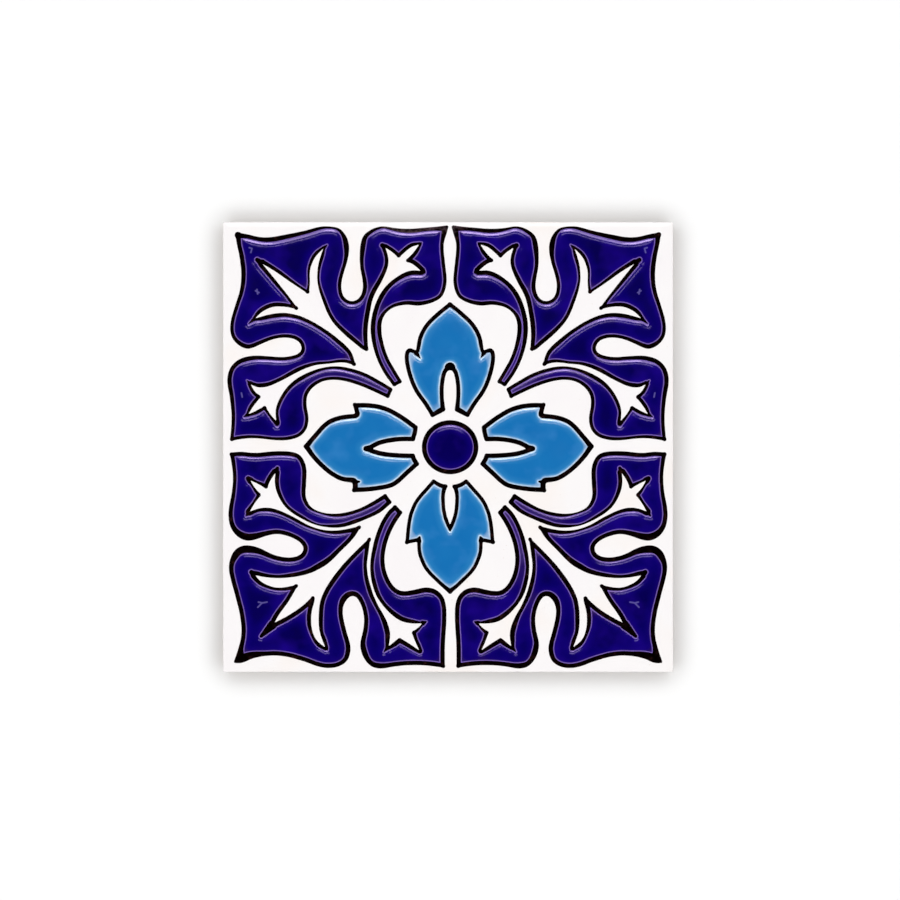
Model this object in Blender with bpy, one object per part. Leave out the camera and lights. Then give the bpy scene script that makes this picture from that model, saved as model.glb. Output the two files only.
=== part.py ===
"""A square haft rang tile: one slab of fired clay, glazed white on its face, with a
four-petal flower and four leaf scrolls standing proud of the white as thick coloured glaze.

Metres, +Z up. The origin is the centre of the flat back, and +Y is the head of the pattern.
"""

import math

import bmesh
import bpy
from mathutils import Matrix, Vector
from mathutils.geometry import interpolate_bezier

# Driving dimensions
MM = 0.001
SIDE = 0.200
THICKNESS = 0.010
GLAZE_RELIEF = 0.0007
EDGE_ROUND = 0.0005
EDGE_SEGMENTS = 3

# The drawing of the pattern, in millimetres: a fold is the middle line's X and how much
# narrower than the left side the right side is drawn
UPPER_FOLD = (0.9, 0.982)
LOWER_FOLD = (1.2, 0.976)
PETAL_FOLD = (0.9, 0.995)
DISC_CENTRE = (0.95, -0.1)
DISC_RADII = (12.5, 11.95)
DISC_SEGMENTS = 40
CURVE_TIGHTNESS = 1.0 / 3.0
TURN_PER_SEGMENT = math.radians(14.0)
FIGURE_FOOT = 0.004

# Glaze colours
WHITE_GLAZE = (0.93, 0.91, 0.92, 1.0)
COBALT_GLAZE = (0.012, 0.006, 0.16, 1.0)
LIGHT_BLUE_GLAZE = (0.012, 0.18, 0.52, 1.0)
GLAZE_ROUGHNESS = 0.15

# Every figure is one closed outline in millimetres from the middle of the tile. It is drawn
# as pen strokes: a stroke starts at a sharp corner, runs smoothly through its points and
# ends where the next stroke starts.

# Two leaves of the upper left quarter, from the corner tip round by the head of the tile
UPPER_SCROLL = (
    ((-94.4, 95.3), (-89.8, 94.6), (-84.0, 93.3), (-80.0, 93.1), (-73.0, 94.2), (-63.5, 96.1),
     (-57.0, 97.8), (-52.0, 97.9), (-48.0, 96.8), (-45.0, 93.0), (-44.0, 88.1), (-44.8, 82.8),
     (-46.4, 77.5), (-47.5, 72.0), (-46.4, 66.8), (-42.7, 64.7), (-39.1, 66.6), (-37.7, 72.0),
     (-39.0, 80.6), (-39.1, 86.8), (-37.8, 93.3), (-33.8, 96.7), (-29.0, 98.0), (-24.1, 97.3),
     (-18.0, 96.9), (-10.2, 97.4), (-3.7, 98.0)),
    ((0.3, 98.6), (-0.7, 94.9), (-1.9, 90.8), (-2.0, 88.1), (-1.5, 82.6), (-0.8, 76.5),
     (-0.8, 72.5), (-2.7, 67.0), (-7.5, 64.1), (-13.3, 62.9), (-18.0, 63.3), (-24.0, 62.2),
     (-27.9, 59.2), (-29.6, 54.8), (-29.1, 47.6), (-26.7, 39.8), (-24.1, 35.0)),
    ((-20.4, 28.9),),
    ((-24.1, 26.9), (-28.9, 33.8), (-32.5, 42.1), (-34.2, 50.3), (-33.9, 57.2), (-31.2, 65.8),
     (-26.9, 72.1), (-20.4, 76.9), (-16.0, 78.4)),
    ((-11.9, 78.2), (-15.3, 81.1)),
    ((-18.8, 82.8), (-15.3, 86.4)),
    ((-12.6, 90.1), (-16.1, 89.0), (-19.5, 86.4)),
    ((-21.9, 84.1), (-24.8, 86.7)),
    ((-28.0, 88.8), (-26.6, 84.0), (-26.9, 79.9), (-29.2, 74.3), (-33.2, 66.6), (-34.7, 60.2),
     (-35.8, 51.7), (-35.8, 47.6)),
    ((-35.5, 42.8), (-37.6, 43.2), (-40.3, 45.3), (-47.8, 51.8), (-52.0, 56.8),
     (-55.3, 64.0), (-57.9, 73.1), (-57.5, 81.3)),
    ((-55.3, 88.4), (-59.1, 84.4), (-61.4, 78.5), (-61.5, 72.1)),
    ((-62.0, 68.1), (-69.9, 73.3), (-76.5, 77.9)),
    ((-82.8, 81.7), (-77.5, 75.0), (-70.8, 66.8)),
    ((-66.6, 61.2), (-71.8, 62.3), (-77.9, 62.3), (-82.8, 60.0)),
    ((-85.9, 57.0), (-79.9, 58.7), (-72.5, 59.5), (-64.3, 57.6), (-55.0, 52.5), (-47.6, 46.9),
     (-43.1, 42.2)),
    ((-41.1, 36.1), (-45.9, 37.6), (-53.0, 37.1), (-60.2, 36.1), (-67.5, 32.6), (-76.5, 28.4),
     (-80.0, 27.0), (-84.5, 26.6)),
    ((-87.9, 28.1), (-85.9, 24.6)),
    ((-83.2, 22.4), (-86.7, 18.0)),
    ((-88.9, 14.4), (-85.0, 16.2)),
    ((-81.3, 18.3), (-79.2, 14.7)),
    ((-76.2, 11.3), (-76.4, 17.0), (-73.6, 23.5), (-68.7, 29.2), (-61.0, 33.5), (-52.4, 35.7),
     (-45.2, 35.3), (-37.4, 33.0), (-31.0, 29.7)),
    ((-24.6, 25.9),),
    ((-26.4, 21.7), (-32.3, 24.3), (-40.1, 27.7), (-47.6, 29.7), (-54.4, 29.6), (-59.7, 26.9),
     (-62.6, 22.8), (-62.9, 18.0), (-62.1, 13.3), (-63.0, 8.0), (-66.7, 4.4), (-73.8, 3.0),
     (-81.3, 3.6), (-86.7, 4.0), (-92.5, 3.5)),
    ((-96.8, 2.7), (-96.1, 13.0), (-96.9, 22.1), (-98.0, 28.9), (-96.9, 34.7), (-92.8, 38.9),
     (-86.4, 40.5), (-80.4, 40.3), (-73.8, 39.9), (-67.4, 41.0), (-65.0, 43.4), (-66.6, 47.1),
     (-71.8, 48.7), (-77.9, 47.9), (-84.0, 45.4), (-88.8, 43.7), (-93.5, 45.7), (-96.4, 50.0),
     (-96.4, 56.1), (-94.5, 62.9), (-92.5, 69.4), (-91.8, 75.5), (-92.5, 84.0), (-94.0, 91.5)),
)

# Two leaves of the lower left quarter, from the tip on the left edge round by the flower
LOWER_SCROLL = (
    ((-97.0, -2.6), (-92.2, -2.2), (-86.0, -2.7), (-77.2, -2.0), (-70.5, -2.1), (-65.7, -3.8),
     (-63.1, -9.2), (-63.1, -15.5), (-63.3, -22.0), (-60.6, -27.0), (-53.4, -29.6),
     (-45.2, -29.1), (-37.4, -26.5)),
    ((-27.7, -20.8),),
    ((-25.0, -24.6), (-30.0, -28.9), (-36.7, -32.1), (-44.5, -35.0), (-50.5, -35.8),
     (-58.9, -34.5), (-66.7, -30.8), (-72.4, -26.4), (-76.0, -20.1), (-76.9, -15.3)),
    ((-76.6, -11.2), (-79.1, -15.0)),
    ((-80.6, -18.6), (-84.7, -16.2)),
    ((-88.0, -14.7), (-85.8, -18.3)),
    ((-83.1, -21.2), (-86.0, -25.0)),
    ((-88.3, -28.9), (-83.7, -27.3), (-78.2, -27.3), (-70.4, -30.3), (-61.9, -34.9),
     (-54.8, -37.0), (-47.6, -37.0)),
    ((-38.7, -35.1), (-41.8, -40.1), (-47.6, -46.1), (-53.6, -51.9), (-61.9, -56.2),
     (-71.4, -58.0), (-79.2, -58.0)),
    ((-85.9, -56.9), (-82.8, -60.1), (-76.9, -62.5), (-71.8, -62.3)),
    ((-66.7, -61.2), (-70.8, -68.4), (-75.5, -75.0)),
    ((-77.3, -78.3), (-69.9, -74.3), (-64.0, -70.1)),
    ((-59.9, -66.2), (-59.3, -68.0), (-60.6, -72.8), (-60.9, -78.0), (-59.8, -83.6), (-57.6, -86.8)),
    ((-54.4, -89.2), (-56.9, -82.3), (-57.4, -75.9), (-56.5, -68.0), (-53.1, -60.9),
     (-47.9, -53.8), (-41.5, -46.9)),
    ((-34.5, -40.2), (-35.4, -46.6), (-36.1, -53.5), (-34.5, -61.8), (-31.8, -69.1),
     (-27.5, -77.0), (-25.8, -83.0)),
    ((-26.5, -88.8),),
    ((-21.6, -84.8), (-17.0, -87.6)),
    ((-12.6, -90.6), (-14.6, -86.2)),
    ((-16.1, -82.2), (-13.2, -80.4)),
    ((-11.3, -78.3), (-16.3, -78.3), (-21.4, -77.0), (-27.2, -72.3), (-32.1, -65.3),
     (-34.4, -55.8), (-33.8, -46.6), (-31.2, -37.0), (-27.2, -29.4)),
    ((-23.5, -25.7),),
    ((-20.2, -29.1), (-23.5, -34.0), (-26.5, -40.5), (-28.2, -47.9), (-27.7, -54.8),
     (-24.8, -61.2), (-21.0, -64.0), (-15.3, -63.6), (-10.0, -62.5), (-5.4, -63.5),
     (-2.0, -67.0), (-0.8, -73.1), (-1.1, -81.3), (-1.5, -89.5)),
    ((-1.5, -98.1), (-8.9, -97.1), (-17.3, -96.9), (-24.0, -97.5), (-29.6, -98.4),
     (-34.2, -97.3), (-37.8, -92.8), (-38.9, -87.4), (-37.6, -81.3), (-37.2, -76.5),
     (-38.6, -70.1), (-42.1, -66.1), (-46.1, -69.4), (-46.8, -74.8), (-45.2, -82.0),
     (-43.4, -89.0), (-45.0, -95.0), (-50.2, -97.9), (-56.8, -97.7), (-65.0, -94.9),
     (-73.1, -92.9), (-80.0, -92.7), (-86.7, -93.9), (-91.7, -95.9)),
    ((-95.3, -95.9), (-93.4, -90.5), (-91.8, -83.7), (-92.2, -75.9), (-94.5, -66.0),
     (-96.8, -57.3), (-97.2, -52.1), (-94.9, -46.2), (-90.4, -43.8), (-84.0, -44.9),
     (-77.9, -47.8), (-71.0, -49.2), (-65.5, -47.8), (-64.3, -44.2), (-68.5, -40.6),
     (-75.9, -38.6), (-82.0, -39.8), (-88.5, -41.6), (-93.5, -39.7), (-96.8, -34.9),
     (-97.4, -28.2), (-95.9, -19.5), (-95.5, -13.0), (-96.2, -6.8)),
)

# The petal of the left side, whole, from its outer tip round by the head of the tile
LEFT_PETAL = (
    ((-64.3, 0.3), (-60.0, 5.3), (-54.1, 11.4), (-48.0, 13.9)),
    ((-41.1, 14.7), (-41.7, 16.8)),
    ((-42.2, 19.4), (-35.0, 19.4), (-28.2, 18.1), (-21.8, 15.0)),
    ((-13.4, 9.1), (-14.0, 5.6)),
    ((-15.0, 2.6), (-22.4, 2.5), (-30.2, 1.0)),
    ((-33.8, -0.8), (-29.5, -2.0), (-22.1, -2.8)),
    ((-15.0, -3.0), (-14.3, -5.0)),
    ((-12.7, -7.6), (-17.4, -11.9), (-23.8, -17.3), (-30.0, -19.0), (-36.7, -19.8)),
    ((-42.5, -20.0), (-42.3, -17.8)),
    ((-42.3, -15.8), (-48.0, -14.8), (-54.1, -11.1), (-59.9, -5.5)),
)

# The petals above and below the disc: their left halves, from the slit's end to the outer tip
UPPER_PETAL_HALF = (
    ((0.9, 34.3), (-0.1, 34.0), (-0.95, 32.5), (-1.7, 29.0), (-1.95, 22.5)),
    ((-1.2, 16.2), (-4.0, 14.7)),
    ((-7.2, 13.2), (-10.5, 18.6), (-14.8, 24.8), (-17.5, 31.2), (-18.9, 37.0), (-19.0, 42.0),
     (-17.3, 43.9)),
    ((-14.1, 42.7), (-13.1, 48.8), (-9.9, 54.8), (-4.4, 60.2)),
    ((0.9, 64.4),),
)
LOWER_PETAL_HALF = (
    ((0.9, -34.8), (-0.7, -30.3), (-1.4, -25.5), (-1.3, -20.3)),
    ((-0.1, -17.1), (-3.7, -16.0)),
    ((-6.5, -14.3), (-9.5, -17.7), (-14.6, -23.8), (-17.5, -30.9), (-18.2, -37.0)),
    ((-19.0, -43.1), (-15.8, -42.5)),
    ((-13.6, -42.0), (-13.3, -47.2), (-10.2, -54.5), (-5.0, -60.0)),
    ((0.9, -65.4),),
)


def clear_scene():
    """Remove every object that the scene starts with."""
    for item in list(bpy.data.objects):
        bpy.data.objects.remove(item, do_unlink=True)


def glaze(name, colour):
    """Make one glossy glaze material."""
    material = bpy.data.materials.new(name)
    material.use_nodes = True
    material.diffuse_color = colour
    shader = material.node_tree.nodes["Principled BSDF"]
    shader.inputs["Base Color"].default_value = colour
    shader.inputs["Roughness"].default_value = GLAZE_ROUGHNESS
    return material


def stretch_points(before, start, end, after):
    """Return the points from start up to end on a smooth curve past its neighbours."""
    length = (end - start).length
    leave = (end - before).normalized() if before else (end - start).normalized()
    arrive = (after - start).normalized() if after else (end - start).normalized()
    turn = leave.angle(arrive, 0.0)
    if before is None or after is None:
        turn *= 2.0
    segments = max(1, math.ceil(turn / TURN_PER_SEGMENT))
    reach = length * CURVE_TIGHTNESS
    curve = interpolate_bezier(start, start + leave * reach, end - arrive * reach, end,
                               segments + 1)
    return list(curve[:-1])


def stroke_points(stroke, end):
    """Return the curve of one pen stroke, without its last point."""
    marks = [Vector((x, y, 0.0)) for x, y in stroke] + [Vector((end[0], end[1], 0.0))]
    curve = []
    for number in range(len(marks) - 1):
        before = marks[number - 1] if number > 0 else None
        after = marks[number + 2] if number + 2 < len(marks) else None
        curve += stretch_points(before, marks[number], marks[number + 1], after)
    return curve


def closed_outline(strokes):
    """Return the whole curve of a figure drawn as a ring of strokes."""
    outline = []
    for number, stroke in enumerate(strokes):
        following = strokes[(number + 1) % len(strokes)]
        outline += stroke_points(stroke, following[0])
    return outline


def half_outline(strokes):
    """Return the curve of a half figure, from its first corner to its last."""
    outline = []
    for stroke, following in zip(strokes, strokes[1:]):
        outline += stroke_points(stroke, following[0])
    last = strokes[-1][-1]
    return outline + [Vector((last[0], last[1], 0.0))]


def folded(outline, fold):
    """Return the outline drawn again on the right side of the pattern's middle line."""
    middle, squeeze = fold
    turned = [Vector((middle + (middle - point.x) * squeeze, point.y, 0.0)) for point in outline]
    return turned[::-1]


def both_halves(half):
    """Join a half outline and its fold, which share the two points on the middle line."""
    return half + folded(half, PETAL_FOLD)[1:-1]


def disc_outline():
    """Return the nearly round outline of the flower's middle."""
    outline = []
    for number in range(DISC_SEGMENTS):
        angle = 2.0 * math.pi * number / DISC_SEGMENTS
        outline.append(Vector((DISC_CENTRE[0] + DISC_RADII[0] * math.cos(angle),
                               DISC_CENTRE[1] + DISC_RADII[1] * math.sin(angle), 0.0)))
    return outline


def raised_figure(name, outline, material, collection):
    """Make a figure's prism, from inside the slab up to the top of the glaze."""
    form = bmesh.new()
    floor = form.faces.new([form.verts.new((p.x * MM, p.y * MM, FIGURE_FOOT)) for p in outline])
    raised = bmesh.ops.extrude_face_region(form, geom=[floor])
    top_points = [part for part in raised["geom"] if isinstance(part, bmesh.types.BMVert)]
    lift = Vector((0.0, 0.0, THICKNESS - FIGURE_FOOT))
    bmesh.ops.translate(form, verts=top_points, vec=lift)
    bmesh.ops.recalc_face_normals(form, faces=form.faces)
    mesh = bpy.data.meshes.new(name)
    form.to_mesh(mesh)
    form.free()
    mesh.materials.append(material)
    figure = bpy.data.objects.new(name, mesh)
    figure.hide_render = True
    figure.display_type = "WIRE"
    collection.objects.link(figure)


def rounded_slab(name, material):
    """Make the clay slab up to the white glaze's face, with its edges rounded."""
    height = THICKNESS - GLAZE_RELIEF
    form = bmesh.new()
    place = Matrix.Translation((0.0, 0.0, height / 2.0)) @ Matrix.Diagonal((SIDE, SIDE, height, 1))
    bmesh.ops.create_cube(form, size=1.0, matrix=place)
    bmesh.ops.bevel(form, geom=list(form.edges), offset=EDGE_ROUND, segments=EDGE_SEGMENTS,
                    profile=0.5, affect="EDGES")
    mesh = bpy.data.meshes.new(name)
    form.to_mesh(mesh)
    form.free()
    mesh.materials.append(material)
    slab = bpy.data.objects.new(name, mesh)
    bpy.context.scene.collection.objects.link(slab)
    return slab


def build_tile():
    """Join the raised figures to the slab as one fired piece."""
    white = glaze("white_glaze", WHITE_GLAZE)
    cobalt = glaze("cobalt_glaze", COBALT_GLAZE)
    light_blue = glaze("light_blue_glaze", LIGHT_BLUE_GLAZE)

    figures = bpy.data.collections.new("raised_figures")
    bpy.context.scene.collection.children.link(figures)

    upper = closed_outline(UPPER_SCROLL)
    lower = closed_outline(LOWER_SCROLL)
    side = closed_outline(LEFT_PETAL)
    drawing = (
        ("upper_left_scroll", upper, cobalt),
        ("upper_right_scroll", folded(upper, UPPER_FOLD), cobalt),
        ("lower_left_scroll", lower, cobalt),
        ("lower_right_scroll", folded(lower, LOWER_FOLD), cobalt),
        ("left_petal", side, light_blue),
        ("right_petal", folded(side, UPPER_FOLD), light_blue),
        ("upper_petal", both_halves(half_outline(UPPER_PETAL_HALF)), light_blue),
        ("lower_petal", both_halves(half_outline(LOWER_PETAL_HALF)), light_blue),
        ("disc", disc_outline(), cobalt),
    )
    for name, outline, material in drawing:
        raised_figure(name, outline, material, figures)

    tile = rounded_slab("tile", white)
    tile.data.materials.append(cobalt)
    tile.data.materials.append(light_blue)
    union = tile.modifiers.new("raised figures", "BOOLEAN")
    union.operation = "UNION"
    union.solver = "EXACT"
    union.material_mode = "TRANSFER"
    union.operand_type = "COLLECTION"
    union.collection = figures


clear_scene()
build_tile()
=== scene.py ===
# %% [markdown]
# A haft rang tile is a square slab of fired clay with a coat of white glaze. The pattern is
# drawn on the coat with a dry black line, and each field inside the line is filled with
# coloured glaze, which the line holds back. In the kiln the fields melt to shallow glossy
# cushions. The slab and the flat forms of the pattern come ready as the frame. This lesson
# dresses them: a clay body, a white coat, a black line, and one glaze cushion for each field.

# %% Load the frame
import math

import bpy
import numpy as np
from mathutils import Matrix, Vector


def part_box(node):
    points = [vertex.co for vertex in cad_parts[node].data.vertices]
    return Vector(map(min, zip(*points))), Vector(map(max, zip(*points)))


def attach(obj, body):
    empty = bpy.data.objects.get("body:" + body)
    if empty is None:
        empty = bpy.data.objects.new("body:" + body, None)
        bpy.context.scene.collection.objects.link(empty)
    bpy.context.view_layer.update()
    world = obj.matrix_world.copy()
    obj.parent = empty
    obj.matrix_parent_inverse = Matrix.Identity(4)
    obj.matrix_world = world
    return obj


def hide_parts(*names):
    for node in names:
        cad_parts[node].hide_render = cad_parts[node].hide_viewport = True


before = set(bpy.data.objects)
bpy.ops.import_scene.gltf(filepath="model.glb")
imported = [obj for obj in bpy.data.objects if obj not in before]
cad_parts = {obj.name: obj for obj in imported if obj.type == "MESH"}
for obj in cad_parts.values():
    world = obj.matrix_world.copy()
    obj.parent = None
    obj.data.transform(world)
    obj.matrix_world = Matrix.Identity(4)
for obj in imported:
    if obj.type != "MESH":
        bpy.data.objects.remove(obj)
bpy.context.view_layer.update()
MM = 0.001
tile_low, tile_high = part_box("tile")
SIDE = tile_high.x - tile_low.x
FIGURE_TOP = tile_high.z
print("tile", round(SIDE / MM, 1), "mm square,", round(FIGURE_TOP / MM, 1), "mm thick")

# %% [markdown]
# Every piece ends the same way: its object lies at the origin with its place in its mesh, it
# has one material, and it rides on the tile's body. Operators act on whatever is selected,
# so small helpers first leave one object alone in the selection, or one mesh's open border.

# %% Helpers for every piece
def alone(piece):
    """Select one object only and make it the active one."""
    bpy.ops.object.select_all(action="DESELECT")
    piece.select_set(True)
    bpy.context.view_layer.objects.active = piece


def places(piece):
    """Return the places of a mesh's points as an array of rows x, y, z."""
    flat = np.empty(len(piece.data.vertices) * 3)
    piece.data.vertices.foreach_get("co", flat)
    return flat.reshape(-1, 3)


def put(piece, rows):
    """Write an array of rows x, y, z back to a mesh's points."""
    piece.data.vertices.foreach_set("co", rows.ravel())
    piece.data.update()


def keep_value(piece, name, values):
    """Keep one value with each point of a mesh, for its material to read."""
    kept = piece.data.attributes.new(name, "FLOAT", "POINT")
    kept.data.foreach_set("value", values)


def select_border():
    """Select only the open border edges of the mesh that is being edited."""
    bpy.ops.mesh.select_mode(type="EDGE")
    bpy.ops.mesh.select_all(action="DESELECT")
    bpy.ops.mesh.select_non_manifold(extend=False, use_wire=False, use_multi_face=False,
                                     use_non_contiguous=False, use_verts=False)


def settle(piece, name, material):
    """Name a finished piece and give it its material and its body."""
    alone(piece)
    bpy.ops.object.transform_apply(location=True, rotation=True, scale=True)
    piece.name = name
    piece.data.name = name
    piece.data.materials.clear()
    piece.data.materials.append(material)
    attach(piece, "root")
    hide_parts("tile")
    print(name, len(piece.data.vertices), "points,", len(piece.data.polygons), "faces")


# %% [markdown]
# The pattern's drawing is already in the frame: each raised form of the slab has a flat top,
# and the edge of that top is the outer edge of the black line. A copy of the slab is reduced
# to those tops, their coplanar triangles are dissolved to one face each, and only the border
# edges are kept. As curves with automatic handles they turn from facets back to pen strokes,
# and the sharp corners get vector handles so that they stay sharp.

# %% Trace the outlines from the slab
MERGE = 0.000001
CORNER_TURN = math.radians(27.0)
STROKE_STEPS = 6
OFF_MIDDLE = 20.0


def raised_tops():
    """Return one object for each raised form, holding only the border edges of its top."""
    drawing = bpy.data.objects.new("drawing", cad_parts["tile"].data.copy())
    bpy.context.scene.collection.objects.link(drawing)
    alone(drawing)
    bpy.ops.object.mode_set(mode="EDIT")
    bpy.ops.mesh.select_mode(type="FACE")
    bpy.ops.mesh.select_all(action="SELECT")
    bpy.ops.mesh.remove_doubles(threshold=MERGE)
    bpy.ops.mesh.select_all(action="DESELECT")
    bpy.ops.object.mode_set(mode="OBJECT")
    for face in drawing.data.polygons:
        face.select = face.center.z < FIGURE_TOP - MERGE
    bpy.ops.object.mode_set(mode="EDIT")
    bpy.ops.mesh.delete(type="FACE")
    bpy.ops.mesh.select_all(action="SELECT")
    bpy.ops.mesh.dissolve_limited(angle_limit=math.radians(1.0), use_dissolve_boundaries=False)
    bpy.ops.mesh.select_all(action="SELECT")
    bpy.ops.mesh.delete(type="ONLY_FACE")
    bpy.ops.mesh.select_mode(type="VERT")
    bpy.ops.mesh.select_all(action="SELECT")
    bpy.ops.mesh.separate(type="LOOSE")
    bpy.ops.object.mode_set(mode="OBJECT")
    return list(bpy.context.selected_objects)


def sharp_flags(points):
    """Say for each point of a closed outline whether the pen turned sharply there."""
    flags = []
    for number, point in enumerate(points):
        arrive = point - points[number - 1]
        leave = points[(number + 1) % len(points)] - point
        flags.append(arrive.angle(leave) > CORNER_TURN)
    return flags


def smooth_stroke(outline):
    """Turn a loop of straight edges into a smooth closed curve object."""
    alone(outline)
    bpy.ops.object.convert(target="CURVE")
    points = [Vector(point.co[:3]) for point in outline.data.splines[0].points]
    bpy.ops.object.mode_set(mode="EDIT")
    bpy.ops.curve.select_all(action="SELECT")
    bpy.ops.curve.spline_type_set(type="BEZIER")
    bpy.ops.curve.handle_type_set(type="AUTOMATIC")
    bpy.ops.curve.select_all(action="DESELECT")
    for knot, sharp in zip(outline.data.splines[0].bezier_points, sharp_flags(points)):
        knot.select_control_point = sharp
        knot.select_left_handle = sharp
        knot.select_right_handle = sharp
    bpy.ops.curve.handle_type_set(type="VECTOR")
    bpy.ops.object.mode_set(mode="OBJECT")
    outline.data.resolution_u = STROKE_STEPS
    outline.data.dimensions = "2D"
    outline.data.fill_mode = "NONE"


def drawn_points(outline):
    """Return the points of a curve as it is drawn, as rows x, y in millimetres."""
    drawn = outline.evaluated_get(bpy.context.evaluated_depsgraph_get())
    mesh = drawn.to_mesh()
    rows = np.array([vertex.co[:2] for vertex in mesh.vertices]) / MM
    drawn.to_mesh_clear()
    return rows


def figure_name(rows):
    """Name a figure by where the middle of its outline lies."""
    middle = (rows.min(axis=0) + rows.max(axis=0)) / 2
    side = "left" if middle[0] < 0 else "right"
    level = "lower" if middle[1] < 0 else "upper"
    if abs(middle[0]) > OFF_MIDDLE and abs(middle[1]) > OFF_MIDDLE:
        return level + "_" + side + "_scroll"
    if abs(middle[0]) > OFF_MIDDLE:
        return side + "_petal"
    if abs(middle[1]) > OFF_MIDDLE:
        return level + "_petal"
    return "disc"


outlines = {}
for stroke in raised_tops():
    smooth_stroke(stroke)
    rows = drawn_points(stroke)
    outlines[figure_name(rows)] = rows
    bpy.data.objects.remove(stroke)
    print(figure_name(rows), "is drawn with", len(rows), "points")

# %% [markdown]
# The black line was drawn freehand with a brush, so it swells where the brush was pressed or
# slowed and thins where it ran out. Each outline has a usual width, and marks at a place with
# a change of width and a reach. At the tips of the white prongs the line runs on into the
# colour as a spur, given by its two ends and, where it isn't the usual thin one, by its
# width at both. The marks are set down for the left half. The drawing was folded over to make
# the right half, so a place on the right is first folded back to the left. The same fold
# repeats a few painted glints in the blue: small pale strokes that stand for highlights.

# %% The pressure of the brush
UPPER_FOLD = (0.9, 0.982)
LOWER_FOLD = (1.2, 0.976)
MIDDLE = 0.9

PEN_WIDTH = {"upper_scroll": 1.45, "lower_scroll": 1.85, "side_petal": 1.95,
             "upper_petal": 1.75, "lower_petal": 1.55, "disc": 2.0}
PRESSURE = {
    "upper_scroll": [
        (-93, 80, 0.5, 12), (-90, 43, 0.4, 6), (-97, 30, 0.45, 12), (-76, 94, 0.6, 9),
        (-44, 90, 0.6, 5), (-39, 90, 0.55, 6), (-16, 78, 0.5, 7), (-31, 68, 0.5, 10),
        (-34, 54, 0.5, 9), (-46, 47, 0.35, 7), (-76, 59, 0.35, 9), (-66, 31, 0.3, 6),
        (-83, 27, 0.3, 5), (-13, 63, 0.3, 5), (-1, 96.5, 1.0, 3.5), (-94, 95, 0.7, 4),
        (-75, 48, -0.2, 5), (-26, 60, -0.6, 5), (-28, 98, -0.6, 5), (-52, 98, -0.6, 5),
        (-61, 75, -0.6, 7), (-79, 15, -0.45, 3), (-86, 24, -0.4, 3), (-70, 67, -0.4, 6),
        (-53, 37, -0.4, 8), (-82, 4, -0.3, 8), (-42, 65, -0.35, 4), (-17, 97, 0.35, 6)],
    "lower_scroll": [
        (-90, -44, 1.4, 8), (-96, -47, 0.4, 3), (-94, -95, 1.7, 4), (-91, -94, 1.0, 3),
        (-56, -53, 0.6, 6), (-40, -37, 0.8, 3), (-45, -68, 0.6, 3), (-38, -91, 0.6, 5),
        (-31, -98, 0.5, 4), (-26, -80, 0.4, 6), (-10, -63, 0.3, 8), (-87, -94, 0.9, 4),
        (-60, -84, -0.7, 4), (-77, -62, -0.7, 7), (-58, -34, -0.9, 8), (-72, -27, -0.5, 8),
        (-13, -80, -0.8, 3), (-14, -86, -0.5, 3), (-86, -25, -0.7, 4), (-86, -17, -0.7, 3),
        (-92, -15, -0.4, 10), (-40, -28, -0.5, 10), (-57, -29, -0.5, 6), (-31, -72, -0.4, 6),
        (-36, -53, -0.4, 6)],
    "side_petal": [(-64, 0.3, 0.3, 4), (-42, -17, 0.3, 3)],
    "upper_petal": [(-17.6, 43.5, 0.2, 2.5), (-2.5, 15.5, 0.5, 3)],
    "lower_petal": [(0.9, -65.4, 0.5, 3), (-1.5, -17.0, 0.3, 3)],
}
SPURS = {
    "upper_scroll": [
        (-55.3, 88.4, -53.7, 89.8), (-82.8, 81.7, -84.8, 83.2, 1.35, 0.95),
        (-85.9, 57.0, -88.6, 54.8), (-28.0, 88.8, -29.2, 89.6, 1.3, 1.0),
        (-12.6, 90.1, -11.7, 90.8), (-11.9, 78.2, -10.8, 77.8, 1.3, 0.9),
        (-87.9, 28.1, -89.3, 29.6), (-88.9, 14.4, -90.8, 13.4),
        (-76.2, 11.3, -75.9, 10.4, 1.4, 1.1)],
    "lower_scroll": [
        (-76.6, -11.2, -75.8, -9.4, 1.2, 0.75), (-87.7, -15.0, -88.8, -14.0, 1.5, 1.05),
        (-88.3, -28.9, -89.8, -30.6, 1.2, 0.25),
        (-85.9, -56.9, -87.4, -55.6, 1.5, 1.0), (-77.3, -78.3, -83.2, -84.2, 1.35, 0.55),
        (-78.6, -78.4, -83.2, -84.0, 1.15, 0.5), (-77.4, -79.6, -83.0, -84.3, 1.15, 0.5),
        (-54.4, -89.2, -53.4, -90.3), (-26.5, -88.8, -28.5, -91.1),
        (-12.65, -90.6, -11.9, -91.5), (-11.3, -78.3, -9.5, -77.6)],
    "side_petal": [(-33.8, -0.8, -36.5, -0.7, 1.8, 1.15),
                   (-42.3, -15.6, -39.4, -15.4, 1.2, 0.4)],
    "upper_petal": [(-14.1, 41.7, -12.3, 39.4), (16.0, 41.9, 14.6, 39.7),
                    (0.9, 33.4, 0.9, 35.2, 2.05, 2.4)],
    "lower_petal": [(0.9, -34.8, 0.9, -37.0, 1.5, 0.5), (-13.2, -41.8, -12.6, -40.0, 1.4, 0.4),
                    (15.0, -41.8, 14.4, -40.0, 1.4, 0.4)],
}
# Painted glints: short pale strokes in the cobalt that stand for small highlights on the glaze.
PAINTED_GLINTS = ((UPPER_FOLD, ((-88.3, 88.6, -87.1, 88.2), (-87.1, 88.2, -87.6, 86.4),
                       (-85.5, 69.4, -84.0, 68.6), (-84.9, 70.0, -84.6, 68.0),
                       (-91.8, 24.0, -91.4, 22.2))),
         (LOWER_FOLD, ((-84.5, -71.2, -82.6, -69.3), (-82.6, -69.3, -80.4, -68.9),
                       (-84.2, -68.9, -82.6, -69.3))))
SPUR_START = 0.6
SPUR_END = 0.15
SPUR_EASE = 0.55
SPUR_EASE_REACH = 2.3
SPUR_POINTS = 24
INK_STEP = 0.4
NO_GLINT = 9.0


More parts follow.
